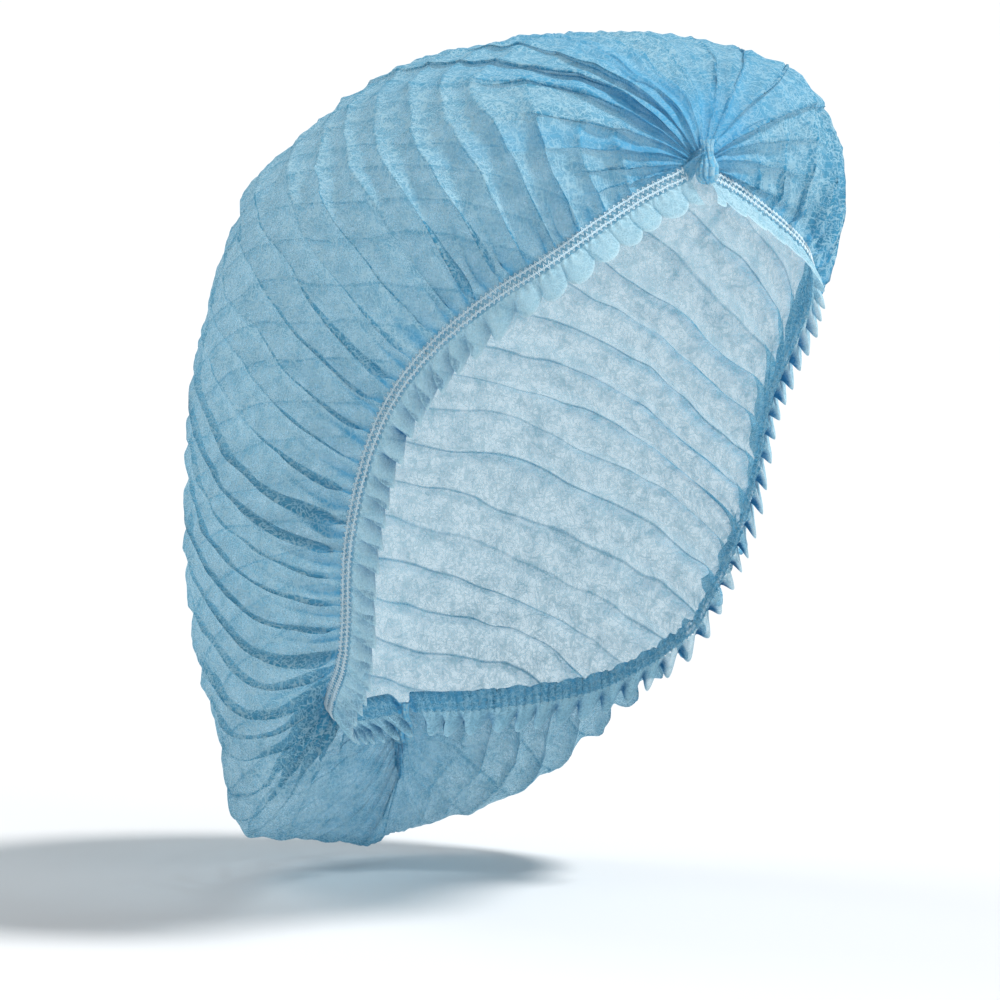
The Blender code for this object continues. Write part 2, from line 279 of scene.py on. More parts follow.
def direction_at(polar, turn):
    """Unit vectors at angles from the front pole, turned about it from the back."""
    polar, turn = polar[..., None], turn[..., None]
    around = BACK * np.cos(turn) + SIDE * np.sin(turn)
    return POLE * np.cos(polar) + around * np.sin(polar)


def inside_outline(points):
    height = (CROWN_RISE - points[..., 2]) / CAP_HEIGHT
    across, along = squared_width(height), squared_length(height)
    behind = points[..., 1] - section_centre(height)
    inside = points[..., 0] ** 2 * along + behind**2 * across < across * along
    return inside & (height > 0) & (height < 1)


def outline_radius(polar, turn):
    """Distance from MIDDLE to the outline, less the valley above the front knot."""
    direction = direction_at(polar, turn)
    near = np.zeros(direction.shape[:-1])
    far = near + CAP_HEIGHT
    for _ in range(24):
        half = (near + far) / 2
        inside = inside_outline(MIDDLE + direction * half[..., None])
        near, far = np.where(inside, half, near), np.where(inside, far, half)
    valley = np.exp(-((turn * np.sin(polar) / VALLEY_HALF_ANGLE) ** 2))
    return near - VALLEY_DEPTH * valley * np.clip(1 - polar / VALLEY_REACH, 0, 1)


def lengths_of(points):
    steps = np.linalg.norm(np.diff(points, axis=0), axis=-1)
    return np.concatenate([[0.0], np.cumsum(steps)])


def along_line(values, lengths, shares):
    wanted = np.clip(shares, 0, 1) * lengths[-1]
    if values.ndim == 1:
        return np.interp(wanted, lengths, values)
    return np.stack([np.interp(wanted, lengths, part) for part in values.T], -1)


def edge_line(steps_per_row=12):
    """Points of the edge on the wearer's left, on a curve through the table."""
    scale = np.array((OPENING_WIDTH / 2, OPENING_DEPTH, -OPENING_HEIGHT))
    corners = np.array(EDGE) * scale + FRONT_KNOT
    beyond = corners[-2] * np.array((-1, 1, 1))
    corners = np.concatenate([[corners[0] * 2 - corners[1]], corners, [beyond]])
    points = []
    for a, b, c, d in zip(corners, corners[1:], corners[2:], corners[3:]):
        for x in np.arange(steps_per_row) / steps_per_row:
            bend = (2 * a - 5 * b + 4 * c - d) * x * x + (3 * b - a - 3 * c + d) * x**3
            points.append(b + ((c - a) * x + bend) / 2)
    return np.array([*points, corners[-2]])


EDGE_POINTS = edge_line()
EDGE_LENGTHS = lengths_of(EDGE_POINTS)
MIDDLE_ANGLES = np.linspace(0, math.pi, 241)
MIDDLE_POINTS = direction_at(MIDDLE_ANGLES, 0 * MIDDLE_ANGLES)
MIDDLE_POINTS = MIDDLE_POINTS * outline_radius(MIDDLE_ANGLES, 0 * MIDDLE_ANGLES)[:, None]
MIDDLE_LENGTHS = lengths_of(MIDDLE_POINTS)


def shares_between(count, gap):
    """Evenly spaced shares of the edge, from the gap at one knot to the other's."""
    start = gap / EDGE_LENGTHS[-1]
    return start + (1 - 2 * start) * np.linspace(0, 1, count)


def edge_frame(shares):
    """Edge points, outward normals of the head there, ways up under the cap, tangents."""
    small = 0.01
    point = along_line(EDGE_POINTS, EDGE_LENGTHS, shares)
    ahead = along_line(EDGE_POINTS, EDGE_LENGTHS, shares + small)
    behind = along_line(EDGE_POINTS, EDGE_LENGTHS, shares - small)
    tangent = unit(ahead - behind)
    normal = (point - HEAD_CENTRE) / HEAD_HALVES**2
    normal = unit(normal - tangent * (normal * tangent).sum(-1, keepdims=True))
    return point, normal, np.cross(normal, tangent), tangent


def lattice_noise(x, y, seed):
    """Smooth noise between -1 and 1, one knot to each whole number of x and y."""
    table = np.random.default_rng(seed).random((128, 128)) * 2 - 1
    left, low = np.floor(x).astype(int), np.floor(y).astype(int)
    across, up = x - left, y - low
    across, up = across**2 * (3 - 2 * across), up**2 * (3 - 2 * up)

    def at(i, j):
        return table[(left + i) % 128, (low + j) % 128]

    bottom = at(0, 0) * (1 - across) + at(1, 0) * across
    top = at(0, 1) * (1 - across) + at(1, 1) * across
    return bottom * (1 - up) + top * up


def dome_ribs(shares, steps=72, rows=96):
    """Smooth dome, an array of ribs by rows, from the casing's top to the middle."""
    point, _, up, _ = edge_frame(shares)
    bag = smooth_step(BAG_STARTS, 1, shares)[:, None]
    foot = point + up * (CASING_WIDTH + BAG_COLLAR * bag) - MIDDLE
    start = foot + HANG * bag
    reach = np.linalg.norm(start, axis=-1)
    start_polar = np.arccos(np.clip(start @ POLE / reach, -1, 1))
    start_turn = np.arctan2(start @ SIDE, start @ BACK)
    end_polar = along_line(MIDDLE_ANGLES, MIDDLE_LENGTHS, shares)
    climb = np.linspace(0, 1, steps + 1)[None, :]
    turn = start_turn[:, None] * (1 - climb)
    rise = np.sin(climb * math.pi / 2)
    polar = start_polar[:, None] + (end_polar - start_polar)[:, None] * rise
    direction = direction_at(polar, turn)
    cosine = np.einsum("ijk,ik->ij", direction, unit(start))
    puff_angle = np.radians(puff_degrees(shares))[:, None]
    puffed = np.clip(np.arccos(np.clip(cosine, -1, 1)) / puff_angle, 0, 1)
    swell = np.sin(puffed * math.pi / 2) ** 0.8
    radius = reach[:, None] * (1 - swell) + outline_radius(polar, turn) * swell
    hang = HANG * (bag * (1 - swell))[..., None]
    points = MIDDLE + direction * radius[..., None] - hang
    even = np.linspace(0, 1, rows + 1)
    return np.stack([along_line(line, lengths_of(line), even) for line in points])


class Dome:
    """The smooth dome on both sides. across is 0 on the middle plane, 1 at the casing
    on the wearer's left and -1 at the one on the right."""

    def __init__(self, columns=260):
        self.shares = shares_between(columns, KNOT_WIDTH / 2 + CLEARANCE)
        left = dome_ribs(self.shares)[:, ::-1]
        left[:, 0, 0] = 0
        right = left[:, :0:-1] * np.array((-1, 1, 1))
        self.points = np.concatenate([right, left], 1)
        for _ in range(6):
            inner = self.points[:, 1:-1]
            beside = (self.points[:, :-2] + self.points[:, 2:]) / 2
            self.points[:, 1:-1] = inner * 0.5 + beside * 0.5
        along = np.gradient(self.points, axis=0)
        over = np.gradient(self.points, axis=1)
        self.normals = unit(np.cross(over, along))
        outward = ((self.points - MIDDLE) * self.normals).sum(-1)
        self.normals *= np.sign(np.median(outward))

    def at(self, grid, place, across):
        """Value of a grid at places from 0, front, to 1, nape, and at across."""
        rows, columns = self.points.shape[1] - 1, self.points.shape[0] - 1
        x = np.clip(place, 0, 1) * columns
        y = np.clip((across + 1) / 2, 0, 1) * rows
        i = np.minimum(x.astype(int), columns - 1)
        j = np.minimum(y.astype(int), rows - 1)
        x, y = (x - i)[..., None], (y - j)[..., None]
        low = grid[i, j] * (1 - x) + grid[i + 1, j] * x
        high = grid[i, j + 1] * (1 - x) + grid[i + 1, j + 1] * x
        return low * (1 - y) + high * y


def add_object(name, mesh, material):
    obj = bpy.data.objects.new(name, mesh)
    mesh.materials.append(material)
    bpy.context.scene.collection.objects.link(obj)
    return obj


def add_grid(name, points, material, attributes, closed=False):
    """A grid mesh whose vertices lie at points[column, row]. A closed one is joined
    between its last row and its first."""
    columns, rows = points.shape[0] - 1, points.shape[1] - 1
    bm = bmesh.new()
    bmesh.ops.create_grid(bm, x_segments=columns, y_segments=rows, size=1)
    mesh = bpy.data.meshes.new(name)
    bm.to_mesh(mesh)
    bm.free()
    flat = np.empty(len(mesh.vertices) * 3)
    mesh.vertices.foreach_get("co", flat)
    flat = flat.reshape(-1, 3)
    column = np.rint((flat[:, 0] + 1) / 2 * columns).astype(int)
    row = np.rint((flat[:, 1] + 1) / 2 * rows).astype(int)
    mesh.vertices.foreach_set("co", points[column, row].ravel())
    for key, values in attributes.items():
        layer = mesh.attributes.new(key, "FLOAT", "POINT")
        layer.data.foreach_set("value", values[column, row].ravel())
    if closed:
        bm = bmesh.new()
        bm.from_mesh(mesh)
        bmesh.ops.remove_doubles(bm, verts=bm.verts, dist=1e-6)
        bmesh.ops.recalc_face_normals(bm, faces=bm.faces)
        bm.to_mesh(mesh)
        bm.free()
    mesh.update()
    mesh.shade_smooth()
    return add_object(name, mesh, material)


def wave(phase, lean):
    """Height, and shift along the waves, of cloth with sharp crests that lean over."""
    height = np.cos(phase)
    return height, -np.sin(phase) + lean * (height + 1) / 2


def crest(phase, sharpness):
    """1 on the crest of each wave and 0 in its trough."""
    return ((1 + np.cos(phase)) / 2) ** sharpness


class CrownCloth:
    """The crown's cloth as it is laid on the dome. place runs from 0 at the front knot to
    1 at the nape's, and climb from 0 at a casing to 1 on the middle plane. The marks are
    what the material reads at each point."""

    def __init__(self, dome):
        place = np.linspace(0, 1, CROWN_COLUMNS + 1)[:, None]
        across = np.linspace(-1, 1, CROWN_ROWS + 1)[None, :]
        self.dome = dome
        self.place, self.across = np.broadcast_arrays(place, across)
        self.climb = 1 - np.abs(self.across)
        self.to_front = self.place * MIDDLE_LENGTHS[-1]
        self.to_nape = (1 - self.place) * MIDDLE_LENGTHS[-1]
        smooth = dome.at(dome.points, self.place, self.across)
        self.along_metric = np.linalg.norm(np.gradient(smooth, axis=0), axis=-1) * CROWN_COLUMNS
        self.over_metric = np.linalg.norm(np.gradient(smooth, axis=1), axis=-1) * CROWN_ROWS

        fan = falls_off(self.to_front, PLEATS_FROM_FRONT) * smooth_step(0.10, 0.50, self.climb)
        self.near_front = np.maximum(fan, falls_off(self.to_front, PLEATS_ROUND_FRONT))
        self.near_nape = falls_off(self.to_nape, PLEATS_FROM_NAPE)
        held = smooth_step(0, GATHERS_START, np.minimum(self.to_front, self.to_nape))
        self.held = held * (1 - 0.75 * self.near_front) * (1 - 0.5 * self.near_nape)
        self.grown = 0.30 + 0.70 * smooth_step(0, 0.035, self.climb)
        self.free = smooth_step(0, 0.10, self.climb)

        self.height = np.zeros_like(self.climb)
        self.shift_along = np.zeros_like(self.climb)
        self.shift_over = np.zeros_like(self.climb)
        self.marks = {}
        self.lay_gathers()
        self.lay_pleats()
        self.lay_fine_pleats()
        self.dent()
        self.marks["layers_and_shade"] = self.layers()

    def varied(self, along_scale, up_scale, seed):
        """Noise that differs on the two sides and is one on the middle plane."""
        own_side = np.where(self.across > 0, 40.0, 0.0)
        middle = smooth_step(0.45, 1.0, self.climb)
        along = self.place * along_scale
        beside = lattice_noise(along + own_side, self.climb * up_scale, seed)
        shared = lattice_noise(along + 80, self.across * up_scale + 60, seed)
        return beside * (1 - middle) + shared * middle

    def spread(self, across_scale, along_scale, seed, start=(0, 0)):
        """Noise that runs on from one side to the other, from a start in its table."""
        across = self.across * across_scale + start[0]
        return lattice_noise(across, self.place * along_scale + start[1], seed)

    def lay_gathers(self):
        """Folds that run up from the elastic, calmer over the back of the head."""
        wander = self.varied(13, 4, 11) + 0.35 * self.varied(30, 8, 12)
        wander = (wander + 0.16 * self.varied(60, 22, 14)) * smooth_step(0, 0.35, self.climb)
        strength = 0.45 + 0.45 * (self.varied(30, 3, 13) + 1)
        steady = self.held * strength * self.grown
        back = smooth_step(0.62, 0.85, self.place) * smooth_step(0.15, 0.40, self.climb)
        calm = 1 - 0.55 * back
        for gather in GATHERS:
            phase = 2 * math.pi * gather.folds * self.place + wander * gather.turn
            if gather is not LARGE_GATHER:
                phase = phase + 2.5 * self.varied(30, 3, gather.folds)
            faded = smooth_step(gather.fades_from, gather.fades_to, self.climb)
            fade = 1 - (1 - gather.kept) * faded
            lift = gather.lift + (gather.far_lift - gather.lift) * faded
            lean = self.varied(gather.folds / 3, 2, gather.folds + 1)
            up, sideways = wave(phase, 0.9 + 1.6 * lean)
            room = self.along_metric / gather.folds / (2 * math.pi)
            self.height += lift * up * steady * calm
            self.shift_along += gather.shift * sideways * room * fade * steady * calm
            if gather is LARGE_GATHER:
                self.marks["gather_phase"] = phase
                self.marks["gather"] = (0.45 + 0.55 * fade) * steady
            elif gather is SMALL_GATHER:
                self.marks["small_phase"] = phase
                self.marks["small"] = fade * steady * calm

    def lay_pleats(self):
        """Folds that fan out from each knot and lean over, most in a few sectors."""
        swing = 0.075 * self.spread(3, 2.2, 21, (20, 0)) * smooth_step(0, 0.1, self.place)
        phase = 2 * math.pi * PLEATS * (self.across + swing) + 0.8 * self.spread(5, 6, 20)
        room = self.over_metric / PLEATS / (2 * math.pi)
        patch = 0.20 + 0.65 * (self.spread(7, 3.5, 22) + 1)
        sector = smooth_step(-0.10, 0.45, self.spread(4.2, 1.8, 26, (7, 3)))
        self.sector = sector * falls_off(self.to_front, 0.150)
        amount = (0.03 + 0.95 * self.near_front + 0.60 * self.near_nape) * patch
        lean = (2.4 + 2.4 * self.sector) * np.tanh(self.across * 6)
        up, sideways = wave(phase, lean + 1.4 * self.spread(6, 4, 23))
        far_lobe = smooth_step(0.25, 0.6, self.across) * smooth_step(0.55, 0.25, self.place)
        at_knot = falls_off(self.to_front, 0.035) * (1 - 0.5 * far_lobe)
        tall = np.minimum(PLEAT_HEIGHT + PLEAT_EXTRA_AT_KNOT * at_knot, room)
        self.height += tall * up * np.minimum(amount, 1.2) * self.free
        self.shift_over += 0.95 * sideways * room * np.minimum(amount, 1.15) * self.free
        self.marks["pleat_phase"] = phase
        self.marks["pleat"] = (0.30 * far_lobe + 0.8 * amount) * self.free * patch

    def lay_fine_pleats(self):
        """Creases between the pleats."""
        phase = 2 * math.pi * FINE_PLEATS * self.across + 3.0 * self.spread(12, 8, 24)
        up, sideways = wave(phase, 0.6)
        room = self.over_metric / FINE_PLEATS / (2 * math.pi)
        patch = 0.4 + 0.3 * (self.spread(7, 10, 25, (9, 0)) + 1)
        amount = (0.06 + 0.9 * self.near_front + 0.5 * self.near_nape) * self.free * patch
        self.height += np.minimum(FINE_PLEAT_HEIGHT, room * 0.9) * up * amount
        self.shift_over += 0.7 * sideways * room * np.minimum(amount, 1)
        self.marks["fine_phase"], self.marks["fine"] = phase, amount

    def dent(self):
        """Small dents all over, and the puff beside the front knot."""
        dents = lattice_noise(self.to_front / DENT_LENGTH, self.across * 16, 31)
        small = lattice_noise(self.to_front / SMALL_DENT_LENGTH, self.across * 37, 32)
        self.height += (DENT_HEIGHT * dents + SMALL_DENT_HEIGHT * small) * self.grown
        lobe = falls_off(self.place - 0.17, 0.13) * falls_off(self.across - 0.50, 0.30)
        self.height += LOBE_HEIGHT * lobe

    def layers(self):
        """How deep the cloth lies on itself, from 0 to 1: most at the knots. Over the band the
        crests of the small gathers are marked too, partly for the cloth lying double there and
        partly as painted shade.
        """
        streak = smooth_step(0.05, 0.65, self.spread(10, 2.4, 27, (31, 5)))
        streak = streak * falls_off(self.to_front, 0.105) * smooth_step(0, 0.15, self.climb)
        layers_and_shade = 0.95 * falls_off(self.to_front, 0.020) + 0.30 * falls_off(self.to_front, 0.060)
        layers_and_shade = layers_and_shade + 0.35 * self.sector * self.climb + 0.55 * streak
        layers_and_shade = layers_and_shade + 0.5 * falls_off(self.to_nape, 0.03) + 0.15 * falls_off(self.climb, 0.035)
        # Puckers: partly layered cloth, partly painted shade on the small gathers' crests.
        puckers = crest(self.marks["small_phase"], 1.5) * falls_off(self.climb, 0.055)
        return np.clip(layers_and_shade + 0.9 * puckers * self.held, 0, 1)

    def points(self):
        ease = smooth_step(0, 0.02, self.climb)
        place = self.place + self.shift_along / self.along_metric
        across = self.across + self.shift_over / self.over_metric * ease
        normals = unit(self.dome.at(self.dome.normals, place, across))
        return self.dome.at(self.dome.points, place, across) + normals * self.height[..., None]


def casing_cloth(dome, side):
    """Ruched cloth between the edge and the dome on one side, from the edge up."""
    share = np.linspace(0, 1, CROWN_COLUMNS + 1)
    start = dome.shares[0]
    point, normal, up, tangent = edge_frame(start + (1 - 2 * start) * share)
    metres = (np.arange(CASING_ROWS) / CASING_ROWS)[None, :] * CASING_WIDTH
    lower = (CASING_WIDTH - ELASTIC_SPACING) / 2
    seam = falls_off(metres - lower, SEAM_HALF_WIDTH)
    seam = seam + falls_off(metres - lower - ELASTIC_SPACING, SEAM_HALF_WIDTH)
    seam = np.clip(seam, 0, 1)
    phase = ruche_phase(share, side)[:, None] + 0 * metres
    lift = RUCHE_HEIGHT * np.cos(phase) * (1 - seam) - 0.00035 * seam - 0.0001
    wobble = -0.00040 * np.sin(phase) * (1 - seam)
    points = point[:, None] + up[:, None] * metres[..., None]
    points = points + normal[:, None] * lift[..., None] + tangent[:, None] * wobble[..., None]
    still = 0 * phase
    marks = {"small_phase": phase, "small": 1.0 + still, "layers_and_shade": 0.35 + 0.25 * seam + still}
    return points * np.array((side, 1, 1)), marks


def ruche_phase(share, side):
    """Phase of the tight gathers between the rows of elastic, on one side."""
    uneven = lattice_noise(share * 30, share * 0, 51 + side)
    return 2 * math.pi * RUCHE.folds * share + 2.5 * uneven


def add_crown(dome, material):
    cloth = CrownCloth(dome)
    points, marks = cloth.points(), cloth.marks
    (left, left_marks), (right, right_marks) = casing_cloth(dome, 1), casing_cloth(dome, -1)
    blank = np.zeros(left.shape[:2])
    for key, value in marks.items():
        on_right, on_left = right_marks.get(key, blank), left_marks.get(key, blank)
        if key.endswith("phase"):
            on_right = on_right if key in right_marks else blank + value[:, :1]
            on_left = on_left if key in left_marks else blank + value[:, -1:]
        marks[key] = np.concatenate([on_right, value, on_left[:, ::-1]], 1)
    points = np.concatenate([right, points, left[:, ::-1]], 1)
    front, nape = pinched(points[0], "front_knot"), pinched(points[-1], "nape_knot")
    points = np.concatenate([front[::-1], points, nape], 0)
    for key, value in marks.items():
        ends = [np.repeat(value[[end]], PINCH_COLUMNS, 0) for end in (0, -1)]
        marks[key] = np.concatenate([ends[0], value, ends[1]], 0)
    for knotted in (slice(0, PINCH_COLUMNS), slice(-PINCH_COLUMNS, None)):
        marks["layers_and_shade"][knotted] = 0.85
    return add_grid("crown_cloth", points, material, marks)


def pinched(line, node):
    """Columns that carry the last line of the cloth into the stalk of a knot."""
    low, high = (np.array(corner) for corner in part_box(node))
    draw = DRAWN_IN[node]
    stalk = np.array((0, (low[1] + high[1]) / 2, high[2] - draw.below_top))
    turn = np.linspace(-2.6, 2.6, len(line))
    around = np.stack([np.sin(turn), np.cos(turn), 0.2 * np.cos(turn)], -1)
    ring = stalk + STALK_RADIUS * around
    steps = (np.arange(1, PINCH_COLUMNS + 1) / PINCH_COLUMNS)[:, None, None]
    bulge = 0.0012 * np.sin(steps * math.pi) * np.cos(turn * 9)[None, :, None]
    way = np.array((0, -1, 0.4))
    drawn = steps ** np.array((1.0, 1.0, draw.stays_level))
    return line * (1 - drawn) + ring * drawn + bulge * way


def add_frill(name, side, material):
    """The fluted edge of the cloth past the elastic on one side, with painted shade in the
    troughs and on the lower flanks of its flutes.
    """
    share = shares_between(FRILL_COLUMNS + 1, FRILL_STARTS)
    point, normal, up, tangent = edge_frame(share)
    down = np.linspace(0, 1, FRILL_ROWS + 1)[None, :]
    along = np.linspace(0, 1, FRILL_COLUMNS + 1)[:, None]
    still = along * 0
    seed = 60 + side
    to_half = np.minimum(along, 0.5)
    flutes = FRILL_FLUTES * along + 6 * to_half * (2 * along - to_half)
    pitch = EDGE_LENGTHS[-1] / (FRILL_FLUTES + 12 * to_half)
    phase = 2 * math.pi * flutes + 1.2 * lattice_noise(along * 20, still, seed)
    phase = phase + 0.35 * lattice_noise(along * 40, down * 2, seed + 2)
    size = 0.90 + 0.16 * lattice_noise(along * 26, still, seed + 4)
    opened = np.sin(down * math.pi / 2) ** 0.8 * size
    standing = smooth_step(0.12, 0.36, along) * (1 - 0.35 * smooth_step(0.6, 0.9, along))
    lean = 0.9 + 0.6 * lattice_noise(along * 15, still, seed + 6)
    up_wave = np.cos(phase)
    sideways = (1 - standing) * np.sin(phase) + (0.4 + 0.45 * standing) * lean * (up_wave + 1)
    flute = (FRILL_WAVE + FRILL_WAVE_AT_SIDE * standing) * (up_wave + 1) * opened
    flute = flute - FRILL_SINKS_AT_SIDE * standing * opened
    # Painted shade: the trough of each flute and its lower flank (valley, under) are marked
    # darker and denser for the frill's colour.
    valley = (1 - up_wave) / 2 * opened
    under = np.clip(np.sin(phase - 0.3), 0, 1) * opened
    shift = 1.7 * sideways * pitch / (2 * math.pi) * opened
    tight = np.clip(1 - down * 2.2, 0, 1)
    small = ruche_phase(along, side) + 0 * down
    ruche = 0.0004 * np.cos(small) * tight
    scallop = 0.30 - 0.16 * standing
    width = FRILL_WIDTH * (1 - scallop + scallop * up_wave)
    drop = width * (0.97 + 0.05 * lattice_noise(along * 50, still, seed + 8)) * down
    lay = FRILL_LAYS_IN * standing[:, :1]
    lying = up * np.cos(lay) + normal * np.sin(lay)
    raised = normal * np.cos(lay) - up * np.sin(lay)
    points = point[:, None] - lying[:, None] * drop[..., None]
    points = points + raised[:, None] * (flute + ruche - 0.0001)[..., None]
    points = points + tangent[:, None] * shift[..., None]
    marks = {
        "small_phase": small,
        # Painted highlight: the ruche crests and the hem rim take the frill's lighter crest
        # colour.
        "small": tight + still,
        "layers_and_shade": (0.45 + 0.65 * standing) * valley + 0.95 * standing * under,
        "fine_phase": 0 * small,
        "fine": 1.3 * smooth_step(0.86, 1.0, down) + still,
    }
    return add_grid(name, points * np.array((side, 1, 1)), material, marks)


def tube_points(path, radius, sides, normal):
    """Rings of points round a path, its radius at each point given."""
    forward = unit(np.gradient(path, axis=0))
    across = unit(np.cross(forward, normal))
    out = np.cross(across, forward)
    angle = np.linspace(0, 2 * math.pi, sides + 1)[None, :, None]
    ring = across[:, None] * np.cos(angle) + out[:, None] * np.sin(angle)
    return path[:, None] + ring * np.asarray(radius).reshape(-1, 1, 1)


def add_stitched_elastic(name, side, above_edge, material):
    """One row of elastic, with the thread that is sewn over it in a zigzag."""
    share = shares_between(ELASTIC_POINTS, ELASTIC_STARTS)
    point, normal, up, tangent = edge_frame(share)
    centre = point + up * above_edge + normal * (CLEARANCE * 0.6 + ELASTIC_DIAMETER * 0.3)
    pucker = lattice_noise(share * 118, share * 0, 71)[:, None] * 0.00012
    centre = centre + up * pucker
    mirror = np.array((side, 1, 1))
    radius = np.full(ELASTIC_POINTS, ELASTIC_CORE_RADIUS)
    core = tube_points(centre * mirror, radius, 6, normal * mirror)
    phase = share * STITCHES * 2 * math.pi
    swing = np.arcsin(np.sin(phase)) / (math.pi / 2)
    over = np.sqrt(np.clip(1 - swing**2, 0, 1))
    reach = STITCH_REACH + 0.00035 * lattice_noise(share * 230, share * 0, 72)
    above = over * 0.00036 - 0.0001
    thread = centre + up * (swing * reach)[:, None] + normal * above[:, None]
    radius = THREAD_RADIUS + 0.00002 * np.cos(phase * 3)
    sewn = tube_points(thread * mirror, radius, 5, normal * mirror)
    on_core, on_thread = {"thread": 0 * core[..., 0]}, {"thread": 1 + 0 * sewn[..., 0]}
    obj = add_grid(name, core, material, on_core, closed=True)
    other = add_grid(name + "_thread", sewn, material, on_thread, closed=True)
    bm = bmesh.new()
    bm.from_mesh(obj.data)
    bm.from_mesh(other.data)
    bm.to_mesh(obj.data)
    bm.free()
    bpy.data.objects.remove(other)
    return obj


KnotRing = namedtuple("KnotRing", "along radius")
KNOT_RINGS = (
    KnotRing(0.00, 0.00),
    KnotRing(0.015, 0.42),
    KnotRing(0.06, 0.72),
    KnotRing(0.20, 0.98),
    KnotRing(0.38, 0.98),
    KnotRing(0.52, 0.76),
    KnotRing(0.66, 0.58),
    KnotRing(0.84, 0.56),
    KnotRing(1.00, 0.70),
)


def add_knot(name, node, material):
    """The welded end of the pleats: ribs that twist a little from tail to stalk, with painted
    shade in the grooves between them.
    """
    low, high = (np.array(corner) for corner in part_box(node))
    centre = (low + high) / 2
    ring_at = smooth_curve([r.along for r in KNOT_RINGS], [r.radius for r in KNOT_RINGS])
    along = np.linspace(0, 1, KNOT_MESH_RINGS + 1)[:, None]
    angle = np.linspace(0, 2 * math.pi, KNOT_MESH_SIDES + 1)[None, :]
    turned = angle + 0.7 * along + 0.10 * np.sin(2 * math.pi * along * 1.5)
    ribs = np.abs(np.sin(turned * 5.5 + 0.8 * np.sin(turned * 2))) ** 0.7
    ribs = 0.80 + 0.20 * ribs + 0.10 * np.cos(turned * 2 + 1.1) * (1 - along)
    fine = 1 + 0.03 * lattice_noise(turned * 12, along * 18, 81)
    radius = ring_at(along) * KNOT_WIDTH / 2 * ribs * fine
    z = low[2] + along * (high[2] - low[2]) + 0.0004 * np.sin(turned * 4) * (1 - along) ** 4
    x = centre[0] + radius * np.cos(angle)
    y = centre[1] + radius * np.sin(angle) * KNOT_SQUASH
    points = np.stack([x, y, z + 0 * x], -1)
    # Painted shade: the grooves between the ribs are marked darker and denser.
    groove_shade = 1 - np.clip((ribs - 0.80) / 0.20, 0, 1)
    attributes = {"layers_and_shade": 0.05 + 0.75 * groove_shade + 0 * x}
    return add_grid(name, points, material, attributes, closed=True)


class Maths:
    """A shader socket that can be used in sums. It makes the nodes that it needs."""

    def __init__(self, tree, socket):
        self.tree, self.socket = tree, socket

    def make(self, kind, inputs=(), output=0, **settings):
        """Any other node, with its inputs by name or number, and one of its outputs."""
        node = self.tree.nodes.new(kind)
        for key, value in settings.items():
            setattr(node, key, value)
        for key, value in dict(inputs).items():
            if isinstance(value, Maths):
                self.tree.links.new(value.socket, node.inputs[key])
            else:
                node.inputs[key].default_value = value
        return Maths(self.tree, node.outputs[output])

    def sum_of(self, operation, *others, clamp=False):
        values = dict(enumerate((self, *others)))
        return self.make("ShaderNodeMath", values, operation=operation, use_clamp=clamp)

    def __add__(self, other):
        return self.sum_of("ADD", other)

    def __sub__(self, other):
        return self.sum_of("SUBTRACT", other)

    def __mul__(self, other):
        return self.sum_of("MULTIPLY", other)

    def __pow__(self, other):
        return self.sum_of("POWER", other)

    def __rsub__(self, other):
        return (self * -1) + other

    __radd__ = __add__
    __rmul__ = __mul__

    def clamped(self):
        return self.sum_of("ADD", 0.0, clamp=True)

    def between(self, low, high):
        """0 under low, 1 over high, and smooth in between."""
        values = {"Value": self, "From Min": low, "From Max": high}
        return self.make("ShaderNodeMapRange", values, interpolation_type="SMOOTHSTEP")


def start_material(name):
    material = bpy.data.materials.new(name)
    material.use_nodes = True
    tree = material.node_tree
    tree.nodes.clear()
    output = tree.nodes.new("ShaderNodeOutputMaterial")
    maths = Maths(tree, None)
    place = maths.make("ShaderNodeTexCoord", output="Object")
    return material, output, maths, place


def noise(place, scale, detail=2.0, roughness=0.5, distortion=0.0):
    values = {
        "Vector": place,
        "Scale": scale,
        "Detail": detail,
        "Roughness": roughness,
        "Distortion": distortion,
    }
    return place.make("ShaderNodeTexNoise", values, output="Fac")


def ridges(place, scale, width, distortion=0.0, detail=1.0):
    """Thin bright lines where a noise passes its middle, as loose fibres lie."""
    middle = noise(place, scale, detail, 0.5, distortion) - 0.5
    return 1 - middle.sum_of("ABSOLUTE").between(0.0, width)


def mix_colours(maths, factor, first, second):
    values = {"Factor": factor, 6: first, 7: second}
    return maths.make("ShaderNodeMix", values, output=2, data_type="RGBA", clamp_factor=True)


def fold_lines(maths, phase_name, amount_name, sharpness, flank_shading):
    """A crisp line along the crest of each fold, with soft painted shading on one flank of it.
    """
    phase = maths.make("ShaderNodeAttribute", output="Fac", attribute_name=phase_name)
    amount = maths.make("ShaderNodeAttribute", output="Fac", attribute_name=amount_name)
    rise = (phase.sum_of("COSINE") + 1) * 0.5
    # Painted shading on the flank just past each crest: darker on the crown, lighter on the
    # frill.
    painted_flank = (phase - 0.9).sum_of("COSINE").between(0.2, 1.0)
    return (rise**sharpness + painted_flank * flank_shading) * amount


# Fibres of the web lie three ways: each is a turned and stretched noise, drawn as lines
Fibre = namedtuple("Fibre", "turn stretch scale width strength")
FIBRES = (
    Fibre((0.3, 0.2, 0.9), (1.0, 0.30, 1.0), 360, 0.040, 0.95),
    Fibre((1.2, 0.5, 0.1), (1.0, 1.0, 0.30), 360, 0.040, 0.95),
    Fibre((0.7, 1.3, 0.4), (0.35, 1.0, 1.0), 560, 0.055, 0.80),
)


